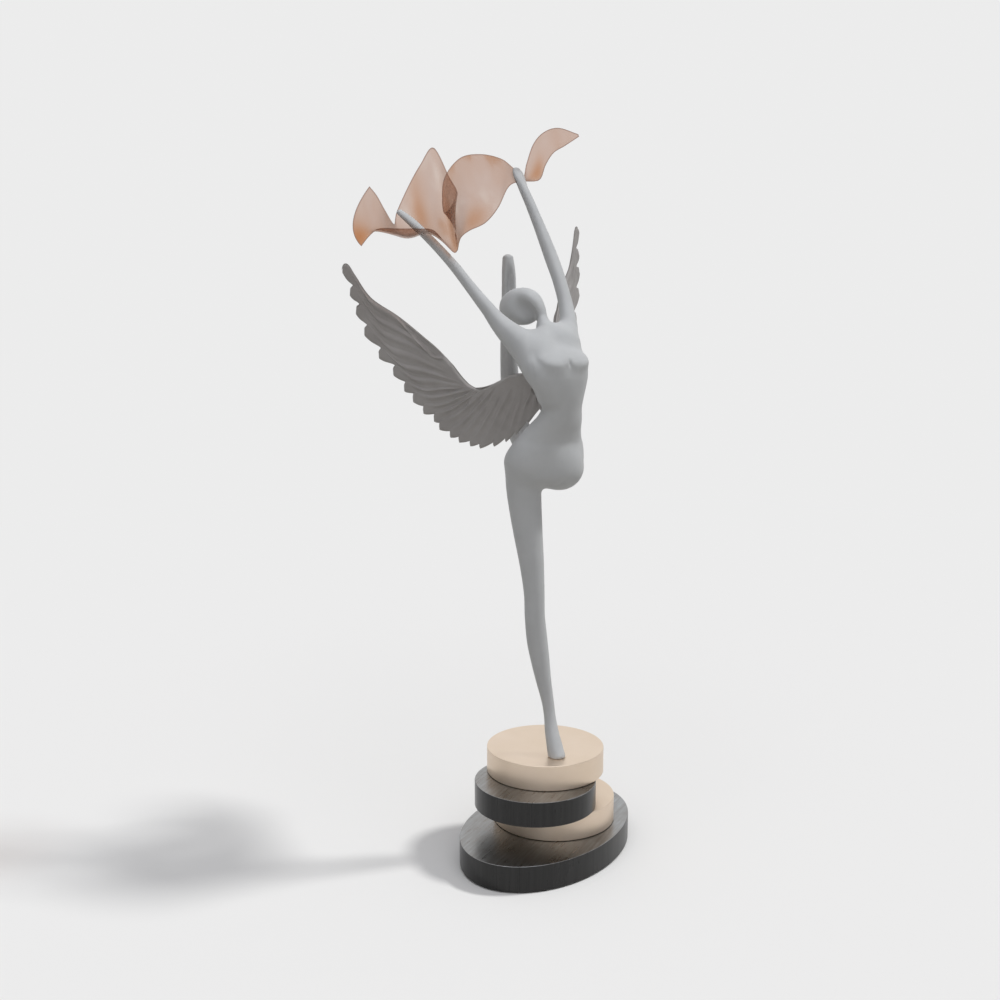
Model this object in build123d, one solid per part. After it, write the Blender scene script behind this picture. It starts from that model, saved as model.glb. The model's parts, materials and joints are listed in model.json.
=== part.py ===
from build123d import *
from math import cos, radians, sin, sqrt
import os

# Figure trophy: a winged dancer, cast in pieces, on a stack of four offset plates.
# Millimetres. The origin is the centre of the oval slab's underside on the table, +Z is up.
# The figure faces -Y and its left side is +X.

# Plates, from the table upwards
FELT_THICK = 1.0
FELT_INSET = 4.0
PLATE_THICK = 17.5
PLATE_EDGE_ROUND = 0.5
SEAM_HEIGHT = 0.5                    # shallow step under each disc, seen as a dark line
SEAM_DEPTH = 1.2
SLAB_HALF_LENGTH = 75.5
SLAB_HALF_WIDTH = 51.0
SLAB_TURN = 32.0
LOWER_DISC = (9.4, 5.7, 41.5)       # centre x, centre y, radius
MIDDLE_DISC = (-10.9, -4.7, 41.0)
UPPER_DISC = (3.5, 7.7, 40.0)
SLAB_BOTTOM = FELT_THICK
LOWER_BOTTOM = SLAB_BOTTOM + PLATE_THICK
MIDDLE_BOTTOM = LOWER_BOTTOM + PLATE_THICK
UPPER_BOTTOM = MIDDLE_BOTTOM + PLATE_THICK
DECK = UPPER_BOTTOM + PLATE_THICK   # the top face, which the foot stands on

# Dowels between the plates
DOWEL_RADIUS = 2.5
DOWEL_LENGTH = 12.0
DOWEL_PLACES = ((-16.0, 10.0), (18.0, -6.0))

# Steel rod through the plates and up the standing leg, with an M4 end
ROD_RADIUS = 2.0
ROD_BOTTOM = 2.0
ROD_X, ROD_Y = -0.2, -14.5
COUNTERBORE_RADIUS = 7.5
COUNTERBORE_DEPTH = 6.0
WASHER_RADIUS, WASHER_THICK = 6.0, 1.0
NUT_ACROSS_FLATS, NUT_THICK = 7.0, 3.2

# Pegs at the glued joints of the castings
PEG_HALF_LENGTH = 5.0
SHOULDER_PEG_RADIUS = 1.6
NECK_PEG_RADIUS = 2.0
HIP_PEG_RADIUS = 3.0

# Wings, both rooted in the small of the back
WING_ROOT = (4.5, -3.0, 312.0)
WING_SWEEP = 37.5                   # degrees from straight back to each wing's chord
LEFT_EXTRA_SWEEP = 1.5              # the left wing is spread a little wider
WING_ROLL = 7.9                     # the figure leans, so its left wing is the higher
WING_THICK = 3.0
WING_SPAN = 140.0
WING_SAG = 14.0                     # depth of the wing's bow over that span
WING_GAP = 0.15                     # from the middle of the back to each wing's root
WING_PIN_RADIUS = 1.0
WING_PIN_LENGTH = 12.0
WING_PIN_SIDE = 2.7                 # from the middle of the back to each pin
WING_PIN_HEIGHTS = (4.0, -4.0)
# Outline in the wing's own plane: distance from the root, height
WING_LEADING = (
    (6, 10), (14, 13), (24, 15), (35, 14), (46, 10), (60, 5), (68, 7), (74, 13), (84, 28),
    (98, 42), (114, 58), (130, 72), (138, 88), (144, 96),
)
WING_TRAILING = (
    (147, 92), (144, 75), (139, 49), (128, 25), (113, -1), (99, -20), (84, -32), (69, -37),
    (52, -35), (39, -28), (27, -19), (15, -11), (6, -8),
)

# Limbs: centre x, y, z, half width across the body, half depth along it
STANDING_LEG = (
    (-0.1, -15.0, DECK, 5.6, 6.0), (-0.2, -12.0, 78, 5.4, 5.0), (-0.4, -8.0, 87.5, 4.6, 4.4),
    (-0.2, -5.0, 97, 4.0, 4.1), (-0.8, -3.0, 107, 4.1, 4.4), (-2.9, -1.0, 121, 5.1, 5.5),
    (-4.8, 0.5, 135, 6.2, 6.6), (-6.9, 1.0, 149, 6.9, 7.2), (-9.0, 0.5, 166, 6.7, 7.0),
    (-9.6, 0.5, 181, 6.8, 7.2), (-10.5, 2.0, 200, 7.8, 8.2), (-12.2, 4.5, 222, 9.6, 10.0),
    (-13.6, 6.5, 242, 10.9, 11.5), (-14.0, 7.0, 262, 11.8, 12.5), (-13.0, 5.0, 276, 12.0, 12.0),
)
RAISED_LEG = (
    (12.0, -3.0, 270, 12.5, 13.5), (13.0, 8.0, 268, 13.0, 13.5), (14.5, 20.0, 267, 12.6, 13.0),
    (16.5, 35.0, 266, 11.5, 12.0), (18.5, 52.0, 267, 10.4, 10.7), (19.8, 66.0, 269.5, 9.6, 9.6),
    (19.5, 76.5, 275.5, 8.8, 8.7), (17.0, 81.0, 287, 8.2, 8.1), (13.8, 78.5, 301, 7.3, 7.5),
    (10.5, 75.0, 318, 6.2, 6.6), (7.5, 71.0, 340, 5.6, 5.8), (6.5, 69.0, 362, 5.0, 5.2),
    (6.2, 68.0, 380, 5.0, 4.6), (6.2, 68.5, 391, 4.6, 4.2), (6.2, 69.5, 398, 3.0, 2.8),
)
RIGHT_ARM = (
    (-3.0, -3.0, 341, 8.0, 8.0), (-10.0, 2.0, 345, 7.6, 7.6), (-17.0, 10.0, 350.5, 6.2, 6.2),
    (-24.0, 20.0, 358, 5.0, 5.0), (-30.5, 30.5, 370, 4.2, 4.2), (-37.0, 40.5, 382.5, 3.7, 3.7),
    (-43.0, 50.0, 394.5, 3.4, 3.4), (-49.5, 59.5, 405.5, 3.1, 3.1), (-56.0, 69.0, 415.5, 2.9, 2.9),
    (-62.0, 78.0, 424.0, 3.2, 2.4), (-67.0, 87.0, 430.5, 2.2, 1.6),
)
LEFT_ARM = (
    (8.0, -3.0, 344, 8.0, 8.0), (14.5, 1.0, 349, 7.0, 7.0), (19.5, 9.0, 358.5, 5.6, 5.6),
    (22.2, 18.5, 372, 4.7, 4.7), (22.9, 28.0, 386, 4.5, 4.5), (22.9, 37.0, 398, 4.6, 4.6),
    (22.3, 45.5, 410, 4.3, 4.3), (21.4, 54.0, 422, 3.8, 3.8), (19.6, 63.0, 436, 3.4, 3.4),
    (18.8, 71.0, 446, 3.2, 3.2), (19.5, 79.0, 454.5, 4.0, 2.4), (20.8, 86.0, 460, 2.6, 1.6),
)
NECK_AND_HEAD = (
    (3.0, 2.0, 348, 9.0, 8.0), (3.2, 10.0, 354, 6.0, 5.6), (2.6, 16.0, 360.5, 5.0, 5.0),
    (1.2, 20.5, 366, 7.0, 7.4), (-1.0, 25.5, 368.6, 10.0, 11.3), (-3.0, 32.0, 368.8, 11.2, 12.3),
    (-4.8, 38.5, 368, 10.4, 11.0), (-6.0, 43.5, 367, 7.4, 7.6), (-6.6, 46.0, 366.5, 3.6, 3.6),
)
NECK_JOINT = 1                      # the station of each list where the castings meet
SHOULDER_JOINT = 2
HIP_JOINT = 2

# Trunk: centre x, y, z, half width, half depth, backward lean of the section in degrees
TRUNK = (
    (6.0, 0.0, 252, 7.0, 7.0, 0), (3.0, 1.0, 259, 20.0, 13.5, 0), (-1.0, 2.0, 270, 27.5, 16.0, 0),
    (-0.5, 1.0, 281, 26.5, 14.5, 0), (1.5, -3.0, 290, 21.5, 12.0, 0), (4.0, -7.5, 298, 16.0, 10.5, 0),
    (4.5, -10.5, 307, 14.0, 10.0, 0), (3.5, -12.5, 318, 16.5, 10.0, 0), (2.5, -12.5, 328, 19.5, 10.5, 10),
    (2.5, -10.0, 337, 20.0, 10.5, 25), (3.0, -4.0, 345, 17.5, 10.0, 38), (3.0, 4.0, 351, 10.0, 7.0, 45),
)
BREASTS = ((-4.5, -17.0, 337.0), (11.5, -17.0, 337.0))
BREAST_RADIUS = 5.5

# Scarf: near edge, middle and far edge of the sheet at each station along its length
SCARF_THICK = 1.0
SCARF = (
    ((-105, 58, 408), (-109, 64, 424), (-92, 75, 446)), ((-98, 60, 415), (-97, 68, 423), (-86, 77, 440)),
    ((-91, 62, 419), (-87, 71, 419), (-79, 81, 431)), ((-77, 60, 419), (-74, 76, 415), (-68, 92, 422)),
    ((-66, 56, 419), (-64, 80, 414), (-61, 104, 430)), ((-57, 53, 418), (-53, 84, 421), (-51, 106, 448)),
    ((-51, 48, 410), (-46, 80, 426), (-43, 104, 462)), ((-46, 45, 404), (-39, 76, 434), (-35, 100, 473)),
    ((-43, 46, 405), (-33, 74, 426), (-26, 95, 454)), ((-41.5, 48, 407), (-31, 75, 424), (-19.5, 96, 442)),
    ((-40, 50, 410), (-30, 79, 421), (-26, 103, 430)), ((-36, 54, 414), (-25, 84, 430), (-22, 113, 452)),
    ((-28, 58, 418), (-16, 86, 442), (-10, 113, 467)),
    ((-15, 61, 423), (-4, 84, 447), (3, 106, 470)), ((-3, 66, 433), (7, 83, 452), (15, 98, 467)),
    ((8, 72, 447), (14, 82, 455), (21, 92, 461)), ((19, 75, 451), (23, 81, 452), (27, 87, 454)),
    ((32, 73, 452), (30, 79, 457), (28, 84, 463)), ((36, 71, 462), (34, 76, 469), (31, 80, 476)),
    ((41, 69, 470), (39, 74, 477), (37, 76, 484)), ((50, 69, 475), (49, 72, 481), (47, 73, 487)),
    ((59, 69, 481), (59, 70, 483), (58, 70, 485)),
)


def disc(place, bottom):
    """One round plate with slightly broken edges, and a step round the bottom that leaves a
    shadow line against the plate below."""
    x, y, radius = place
    plate = Pos(x, y, bottom + PLATE_THICK / 2) * Cylinder(radius, PLATE_THICK)
    plate = fillet(plate.edges().group_by(Axis.Z)[-1], PLATE_EDGE_ROUND)
    outer = Pos(x, y, bottom + SEAM_HEIGHT / 2) * Cylinder(radius, SEAM_HEIGHT)
    inner = Pos(x, y, bottom + SEAM_HEIGHT / 2) * Cylinder(radius - SEAM_DEPTH, SEAM_HEIGHT)
    return plate - (outer - inner)


def oval(half_length, half_width, bottom, thick):
    outline = Plane.XY.offset(bottom) * Rot(0, 0, SLAB_TURN) * Ellipse(half_length, half_width)
    return extrude(outline, thick)


def upright(x, y, bottom, top, radius):
    return Pos(x, y, (bottom + top) / 2) * Cylinder(radius, top - bottom)


def directions(stations):
    """Direction of a limb's centre line at each station, from its neighbours."""
    points = [Vector(*station[:3]) for station in stations]
    last = len(points) - 1
    return [(points[min(i + 1, last)] - points[max(i - 1, 0)]).normalized() for i in range(last + 1)]


def section(centre, direction, across, along):
    side = Vector(1, 0, 0)
    side = side - direction * side.dot(direction)
    return Plane(origin=centre, x_dir=side, z_dir=direction) * Ellipse(across, along)


def limb(stations, first_direction=None):
    """Elliptical sections set square to a limb's centre line."""
    headings = directions(stations)
    if first_direction:
        headings[0] = Vector(*first_direction)
    pairs = zip(stations, headings)
    return [section(station[:3], heading, *station[3:]) for station, heading in pairs]


def split_limb(stations, joint):
    """The stub that stays on the trunk, and the separate casting beyond the joint."""
    sections = limb(stations)
    return loft(sections[:joint + 1]), loft(sections[joint:])


def joint_peg(stations, joint, radius):
    """Cylinder across a joint, along the limb."""
    heading = directions(stations)[joint]
    frame = Plane(origin=stations[joint][:3], z_dir=heading)
    return frame * Cylinder(radius, 2 * PEG_HALF_LENGTH)


def trunk():
    sections = []
    for x, y, z, across, along, lean in TRUNK:
        upward = Vector(0, sin(radians(lean)), cos(radians(lean)))
        sections.append(section((x, y, z), upward, across, along))
    return loft(sections)


def leg_rod():
    """Straight through the plates, then bent to follow the leg."""
    route = (
        (ROD_X, ROD_Y, ROD_BOTTOM), (ROD_X, ROD_Y, DECK + 1), (-0.4, -5.5, 96),
        (-4.8, 0.5, 135), (-9.3, 0.5, 172),
    )
    path = FilletPolyline(*route, radius=20)
    start = Plane(origin=route[0], z_dir=(0, 0, 1))
    return sweep(start * Circle(ROD_RADIUS), path=path)


def wing_frame(extra=0.0):
    """Plane of the left wing before the roll: x out along the wing, y up, z outwards."""
    turn = radians(WING_SWEEP + extra)
    return Plane(origin=WING_ROOT, x_dir=(sin(turn), cos(turn), 0), z_dir=(cos(turn), -sin(turn), 0))


def wing_blade():
    """Bowed plate with the wing's outline, and an oval boss that seats in the back."""
    leading = Spline(*WING_LEADING)
    tip = Line(WING_LEADING[-1], WING_TRAILING[0])
    trailing = Spline(*WING_TRAILING)
    root = Line(WING_TRAILING[-1], WING_LEADING[0])
    outline = make_face([leading, tip, trailing, root])
    bow_radius = ((WING_SPAN / 2) ** 2 + WING_SAG ** 2) / (2 * WING_SAG)
    bow_centre = Pos(WING_SPAN / 2, 30, bow_radius - WING_SAG) * Rot(90, 0, 0)
    height = 200
    bow = Cylinder(bow_radius + WING_THICK / 2, height) - Cylinder(bow_radius - WING_THICK / 2, height)
    blade = extrude(outline, 40, both=True) & (bow_centre * bow)
    boss = Plane.YZ.offset(1) * Ellipse(8.5, 3.2)
    return blade + extrude(boss, 13)


def rolled(shape):
    return shape.rotate(Axis(WING_ROOT, (0, 1, 0)), -WING_ROLL)


def left_wing(extra=0.0):
    """The blade trimmed at the middle of the back, where the two wings meet."""
    x, y, z = WING_ROOT
    middle = Plane(origin=(x + WING_GAP, y, z), z_dir=(1, 0, 0))
    return split(wing_frame(extra) * wing_blade(), bisect_by=middle, keep=Keep.TOP)


def left_wing_pins():
    """Two steel pins from the back into the boss of the left wing."""
    pins = []
    for height in WING_PIN_HEIGHTS:
        place = Pos(*WING_ROOT) * Pos(WING_PIN_SIDE, 0, height) * Rot(90, 0, 0)
        pins.append(place * Cylinder(WING_PIN_RADIUS, WING_PIN_LENGTH))
    return Compound(pins)


def mirrored(shape):
    return mirror(shape, about=Plane(origin=WING_ROOT, z_dir=(1, 0, 0)))


def scarf_sheet():
    """A stiff sheet of even thickness, faceted between its stations."""
    grid = [[Vector(*point) for point in station] for station in SCARF]
    rows, columns = len(grid), len(grid[0])
    upper = []
    lower = []
    for i in range(rows):
        upper.append([])
        lower.append([])
        for j in range(columns):
            lengthwise = grid[min(i + 1, rows - 1)][j] - grid[max(i - 1, 0)][j]
            crosswise = grid[i][min(j + 1, columns - 1)] - grid[i][max(j - 1, 0)]
            lift = lengthwise.cross(crosswise).normalized() * (SCARF_THICK / 2)
            upper[i].append(grid[i][j] + lift)
            lower[i].append(grid[i][j] - lift)
    faces = []

    def panel(a, b, c, d):
        faces.append(Face(Wire.make_polygon([a, b, c])))
        faces.append(Face(Wire.make_polygon([a, c, d])))

    for i in range(rows - 1):
        for side in (upper, lower):
            for j in range(columns - 1):
                panel(side[i][j], side[i + 1][j], side[i + 1][j + 1], side[i][j + 1])
        for j in (0, columns - 1):
            panel(upper[i][j], upper[i + 1][j], lower[i + 1][j], lower[i][j])
    for i in (0, rows - 1):
        for j in range(columns - 1):
            panel(upper[i][j], upper[i][j + 1], lower[i][j + 1], lower[i][j])
    return Solid(Shell(faces))


def plates():
    slab = oval(SLAB_HALF_LENGTH, SLAB_HALF_WIDTH, SLAB_BOTTOM, PLATE_THICK)
    slab = fillet(slab.edges(), PLATE_EDGE_ROUND)
    stack = {
        "base_slab": slab,
        "lower_disc": disc(LOWER_DISC, LOWER_BOTTOM),
        "middle_disc": disc(MIDDLE_DISC, MIDDLE_BOTTOM),
        "upper_disc": disc(UPPER_DISC, UPPER_BOTTOM),
    }
    counterbore_top = SLAB_BOTTOM + COUNTERBORE_DEPTH
    drill = upright(ROD_X, ROD_Y, SLAB_BOTTOM, DECK, ROD_RADIUS)
    drill += upright(ROD_X, ROD_Y, SLAB_BOTTOM, counterbore_top, COUNTERBORE_RADIUS)
    dowels = []
    for joint in (LOWER_BOTTOM, MIDDLE_BOTTOM, UPPER_BOTTOM):
        for x, y in DOWEL_PLACES:
            dowels.append(upright(x, y, joint - DOWEL_LENGTH / 2, joint + DOWEL_LENGTH / 2, DOWEL_RADIUS))
    for name in stack:
        stack[name] -= drill
        for dowel in dowels:
            stack[name] -= dowel
    stack["disc_dowels"] = Compound(dowels)
    stack["felt_pad"] = oval(SLAB_HALF_LENGTH - FELT_INSET, SLAB_HALF_WIDTH - FELT_INSET, 0, FELT_THICK)
    washer_bottom = counterbore_top - WASHER_THICK
    bore = upright(ROD_X, ROD_Y, SLAB_BOTTOM, DECK, ROD_RADIUS)
    stack["base_washer"] = upright(ROD_X, ROD_Y, washer_bottom, counterbore_top, WASHER_RADIUS) - bore
    hexagon = RegularPolygon(NUT_ACROSS_FLATS / 2, 6, major_radius=False)
    nut = extrude(Plane.XY.offset(washer_bottom - NUT_THICK) * Pos(ROD_X, ROD_Y) * hexagon, NUT_THICK)
    stack["base_nut"] = nut - bore
    return stack


def figure():
    body = trunk() + loft(limb(STANDING_LEG, first_direction=(0, 0, 1)))
    for centre in BREASTS:
        body += Pos(*centre) * Sphere(BREAST_RADIUS)
    hip_stub, raised_leg = split_limb(RAISED_LEG, HIP_JOINT)
    neck_stub, head = split_limb(NECK_AND_HEAD, NECK_JOINT)
    right_stub, right_arm = split_limb(RIGHT_ARM, SHOULDER_JOINT)
    left_stub, left_arm = split_limb(LEFT_ARM, SHOULDER_JOINT)
    for stub in (hip_stub, neck_stub, right_stub, left_stub):
        body += stub
    pieces = {"raised_leg": raised_leg, "figure_head": head, "right_arm": right_arm, "left_arm": left_arm}
    pegs = {
        "hip_peg": joint_peg(RAISED_LEG, HIP_JOINT, HIP_PEG_RADIUS),
        "neck_peg": joint_peg(NECK_AND_HEAD, NECK_JOINT, NECK_PEG_RADIUS),
        "right_shoulder_peg": joint_peg(RIGHT_ARM, SHOULDER_JOINT, SHOULDER_PEG_RADIUS),
        "left_shoulder_peg": joint_peg(LEFT_ARM, SHOULDER_JOINT, SHOULDER_PEG_RADIUS),
    }
    for peg in pegs.values():
        body -= peg
    pieces["raised_leg"] -= pegs["hip_peg"]
    pieces["figure_head"] -= pegs["neck_peg"]
    pieces["right_arm"] -= pegs["right_shoulder_peg"]
    pieces["left_arm"] -= pegs["left_shoulder_peg"]
    pieces["figure_body"] = body
    pieces["hip_peg"] = pegs["hip_peg"]
    pieces["neck_peg"] = pegs["neck_peg"]
    pieces["shoulder_pegs"] = Compound([pegs["right_shoulder_peg"], pegs["left_shoulder_peg"]])
    return pieces


parts = plates()
parts.update(figure())

rod = leg_rod()
parts["leg_rod"] = rod
parts["figure_body"] -= rod

parts["left_wing"] = rolled(left_wing(LEFT_EXTRA_SWEEP))
parts["right_wing"] = rolled(mirrored(left_wing()))
parts["left_wing_pins"] = rolled(left_wing_pins())
parts["right_wing_pins"] = rolled(mirrored(left_wing_pins()))
for side in ("left", "right"):
    parts["figure_body"] -= parts[side + "_wing"]
    for pin in parts[side + "_wing_pins"].solids():
        parts["figure_body"] -= pin
        parts[side + "_wing"] -= pin

parts["scarf"] = scarf_sheet() - parts["right_arm"] - parts["left_arm"]

os.makedirs("parts", exist_ok=True)
for name, shape in parts.items():
    export_step(shape, os.path.join("parts", name + ".step"))
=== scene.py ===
import json
from math import cos, pi, radians, sin

import bpy
import numpy as np
import openvdb
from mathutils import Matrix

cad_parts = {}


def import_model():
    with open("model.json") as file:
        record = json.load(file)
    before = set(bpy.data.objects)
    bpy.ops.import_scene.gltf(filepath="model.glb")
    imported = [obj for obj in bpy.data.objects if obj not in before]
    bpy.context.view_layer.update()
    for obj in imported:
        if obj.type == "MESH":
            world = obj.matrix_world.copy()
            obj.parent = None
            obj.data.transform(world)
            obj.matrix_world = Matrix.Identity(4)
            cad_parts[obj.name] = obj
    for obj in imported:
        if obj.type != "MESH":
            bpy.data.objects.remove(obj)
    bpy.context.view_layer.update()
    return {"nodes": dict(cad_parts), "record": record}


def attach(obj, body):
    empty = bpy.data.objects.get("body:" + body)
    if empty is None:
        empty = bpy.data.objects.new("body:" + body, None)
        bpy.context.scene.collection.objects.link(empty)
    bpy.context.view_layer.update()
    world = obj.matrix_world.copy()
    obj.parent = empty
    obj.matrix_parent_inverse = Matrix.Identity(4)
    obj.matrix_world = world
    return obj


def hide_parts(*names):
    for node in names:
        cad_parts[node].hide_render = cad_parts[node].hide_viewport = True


# Figure trophy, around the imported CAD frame. Shapes are worked out in millimetres in the frame's
# axes and become metres when a mesh is made.

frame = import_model()
nodes = frame["nodes"]
MM = 0.001


# ---------------------------------------------------------------- general helpers

def unit(vectors):
    return vectors / np.maximum(np.linalg.norm(vectors, axis=-1, keepdims=True), 1e-9)


def spline(points, at):
    """Catmull-Rom curve through rows of numbers; at runs from 0 to the last row's index."""
    points = np.asarray(points, float)
    first = 2 * points[0] - points[1]
    last = 2 * points[-1] - points[-2]
    padded = np.vstack([first, points, last])
    at = np.clip(np.asarray(at, float), 0, len(points) - 1 - 1e-9)
    start = at.astype(int)
    t = (at - start)[:, None]
    a, b, c, d = (padded[start + i] for i in range(4))
    return 0.5 * (2 * b + (c - a) * t + (2 * a - 5 * b + 4 * c - d) * t ** 2
                  + (3 * b - a - 3 * c + d) * t ** 3)


def even_spline(points, shares):
    """The same curve, at shares of its length."""
    fine_at = np.linspace(0, len(points) - 1, 600)
    fine = spline(points, fine_at)
    run = np.concatenate([[0], np.cumsum(np.linalg.norm(np.diff(fine, axis=0), axis=1))])
    return spline(points, np.interp(np.asarray(shares) * run[-1], run, fine_at))


def smooth_step(low, high, value):
    t = np.clip((value - low) / (high - low), 0, 1)
    return t * t * (3 - 2 * t)


def make_object(name, points_mm, faces):
    mesh = bpy.data.meshes.new(name)
    mesh.from_pydata((np.asarray(points_mm) * MM).tolist(), [], faces)
    mesh.validate()
    mesh.update()
    mesh.shade_smooth()
    piece = bpy.data.objects.new(name, mesh)
    bpy.context.scene.collection.objects.link(piece)
    return piece


def closed_sheet(name, upper, lower):
    """A closed mesh between two grids of points that share their border's shape."""
    rows, columns = upper.shape[:2]
    index = np.arange(rows * columns).reshape(rows, columns)
    below = index + rows * columns
    a, b, c, d = index[:-1, :-1], index[1:, :-1], index[1:, 1:], index[:-1, 1:]
    faces = np.stack([a, b, c, d], -1).reshape(-1, 4).tolist()
    faces += (np.stack([a, d, c, b], -1).reshape(-1, 4) + rows * columns).tolist()
    border = list(index[:, 0]) + list(index[-1, 1:]) + list(index[-2::-1, -1]) + list(index[0, -2:0:-1])
    under = list(below[:, 0]) + list(below[-1, 1:]) + list(below[-2::-1, -1]) + list(below[0, -2:0:-1])
    for i in range(len(border)):
        j = (i + 1) % len(border)
        faces.append([int(border[j]), int(border[i]), int(under[i]), int(under[j])])
    points = np.vstack([upper.reshape(-1, 3), lower.reshape(-1, 3)])
    return make_object(name, points, faces)


# ---------------------------------------------------------------- materials

class Shader:
    """A small wrapper that adds nodes to one material."""

    def __init__(self, name, **settings):
        self.material = bpy.data.materials.new(name)
        self.material.use_nodes = True
        self.tree = self.material.node_tree
        self.main = self.tree.nodes["Principled BSDF"]
        for socket, value in settings.items():
            self.main.inputs[socket.replace("_", " ")].default_value = value

    def node(self, kind, settings=None, **inputs):
        made = self.tree.nodes.new(kind)
        for attribute, value in (settings or {}).items():
            setattr(made, attribute, value)
        for socket, value in inputs.items():
            self.feed(made.inputs[socket.replace("_", " ")], value)
        return made

    def feed(self, socket, value):
        if isinstance(value, bpy.types.NodeSocket):
            self.tree.links.new(value, socket)
        else:
            socket.default_value = value

    def place(self, scale):
        """Object coordinates in the frame's metres, stretched by scale along each axis."""
        coordinates = self.node("ShaderNodeTexCoord").outputs["Object"]
        return self.node("ShaderNodeMapping", Vector=coordinates, Scale=scale).outputs["Vector"]

    def noise(self, where, scale, detail=4.0, roughness=0.55):
        made = self.node("ShaderNodeTexNoise", Vector=where, Scale=scale, Detail=detail, Roughness=roughness)
        return made.outputs["Fac"]

    def ramp(self, value, *stops):
        made = self.node("ShaderNodeValToRGB", Fac=value)
        elements = made.color_ramp.elements
        while len(elements) < len(stops):
            elements.new(0.5)
        for element, (position, colour) in zip(elements, stops):
            element.position = position
            element.color = (*colour, 1)
        return made.outputs["Color"]

    def remap(self, value, low, high, new_low, new_high):
        made = self.node("ShaderNodeMapRange", Value=value)
        sockets = ("From Min", "From Max", "To Min", "To Max")
        for socket, number in zip(sockets, (low, high, new_low, new_high)):
            made.inputs[socket].default_value = number
        return made.outputs["Result"]

    def bump(self, height, distance, strength=1.0):
        made = self.node("ShaderNodeBump", Height=height, Strength=strength, Distance=distance)
        self.feed(self.main.inputs["Normal"], made.outputs["Normal"])


def silver_paint():
    """Satin silver-grey lacquer with slight clouding."""
    look = Shader("silver_paint", Metallic=0.08, Specular_IOR_Level=0.3)
    clouds = look.noise(look.place((1, 1, 1)), 55, 3)
    shade = look.ramp(clouds, (0.35, (0.525, 0.525, 0.522)), (0.65, (0.565, 0.565, 0.562)))
    look.feed(look.main.inputs["Base Color"], shade)
    look.feed(look.main.inputs["Roughness"], look.remap(clouds, 0.3, 0.7, 0.52, 0.60))
    return look.material


def wing_paint():
    """Matt warm grey paint with soft random clouding over carved feathers."""
    look = Shader("wing_paint", Metallic=0.05)
    grain = look.noise(look.place((1, 1, 1)), 1500, 3)
    clouds = look.noise(look.place((1, 1, 1)), 70, 4)
    barbs = look.noise(look.place((1, 1, 0.25)), 900, 2)
    shade = look.ramp(clouds, (0.3, (0.37, 0.345, 0.33)), (0.7, (0.43, 0.405, 0.39)))
    look.feed(look.main.inputs["Base Color"], shade)
    look.feed(look.main.inputs["Roughness"], look.remap(grain, 0.3, 0.7, 0.55, 0.68))
    look.bump(barbs, 0.00015, 0.35)
    return look.material


def champagne_gold():
    """Satin anodised metal with faint turned lines."""
    look = Shader("champagne_gold", Metallic=0.85)
    lines = look.noise(look.place((1, 1, 30)), 60, 3)
    clouds = look.noise(look.place((1, 1, 1)), 30, 3)
    shade = look.ramp(clouds, (0.3, (0.77, 0.63, 0.49)), (0.7, (0.80, 0.66, 0.53)))
    look.feed(look.main.inputs["Base Color"], shade)
    look.feed(look.main.inputs["Roughness"], look.remap(lines, 0.3, 0.7, 0.36, 0.44))
    look.bump(lines, 0.00003, 0.15)
    return look.material


BRUSHING = radians(-37)


def gunmetal():
    """Dark brushed metal: diagonal streaks on the flat tops and faint upright streaks on the
    sides. The pale tops and nearly black sides are painted light and shade: faces that point
    up get a pale, metallic colour, and upright faces get a nearly black one."""
    look = Shader("gunmetal", IOR=1.42)
    upwards = look.node("ShaderNodeSeparateXYZ", Vector=look.node("ShaderNodeNewGeometry").outputs["Normal"])
    # painted light and shade: how far a face points up picks between the pale metallic top colour and the
    # nearly black side colour
    painted_light_top_share = look.remap(upwards.outputs["Z"], 0.5, 0.9, 0.0, 1.0)
    place = look.node("ShaderNodeTexCoord").outputs["Object"]
    turned = look.node("ShaderNodeVectorRotate", {"rotation_type": "Z_AXIS"}, Vector=place, Angle=BRUSHING)
    brushed = look.node("ShaderNodeMapping", Vector=turned.outputs["Vector"], Scale=(36, 620, 1))
    streaks = look.noise(brushed.outputs["Vector"], 1.0, 6, 0.6)
    patches = look.noise(look.place((30, 30, 30)), 1.0, 4, 0.6)
    mottle = look.node("ShaderNodeMath", {"operation": "MULTIPLY"})
    look.feed(mottle.inputs[0], streaks)
    look.feed(mottle.inputs[1], patches)
    # brushed streaks on the tops, painted pale as lit faces
    brushed_top_painted_lit = look.ramp(mottle.outputs["Value"], (0.12, (0.22, 0.205, 0.19)), (0.27, (0.30, 0.298, 0.296)),
                     (0.42, (0.395, 0.408, 0.42)))
    upright = look.noise(look.place((420, 420, 14)), 1.0, 5)
    # painted shade: the upright sides are coloured nearly black
    side = look.ramp(upright, (0.3, (0.013, 0.0125, 0.012)), (0.7, (0.027, 0.026, 0.025)))
    shade = look.node("ShaderNodeMix", {"data_type": "RGBA"})
    look.feed(shade.inputs["Factor"], painted_light_top_share)
    look.feed(shade.inputs[6], side)
    look.feed(shade.inputs[7], brushed_top_painted_lit)
    look.feed(look.main.inputs["Base Color"], shade.outputs[2])
    look.feed(look.main.inputs["Metallic"], painted_light_top_share)
    look.feed(look.main.inputs["Roughness"], look.remap(mottle.outputs["Value"], 0.1, 0.4, 0.24, 0.36))
    look.bump(streaks, 0.00003, 0.15)
    return look.material


def steel():
    look = Shader("steel", Metallic=1.0)
    lines = look.noise(look.place((1, 1, 40)), 200, 3)
    shade = look.ramp(lines, (0.3, (0.5, 0.5, 0.51)), (0.7, (0.62, 0.62, 0.63)))
    look.feed(look.main.inputs["Base Color"], shade)
    look.feed(look.main.inputs["Roughness"], look.remap(lines, 0.3, 0.7, 0.25, 0.4))
    return look.material


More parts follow.
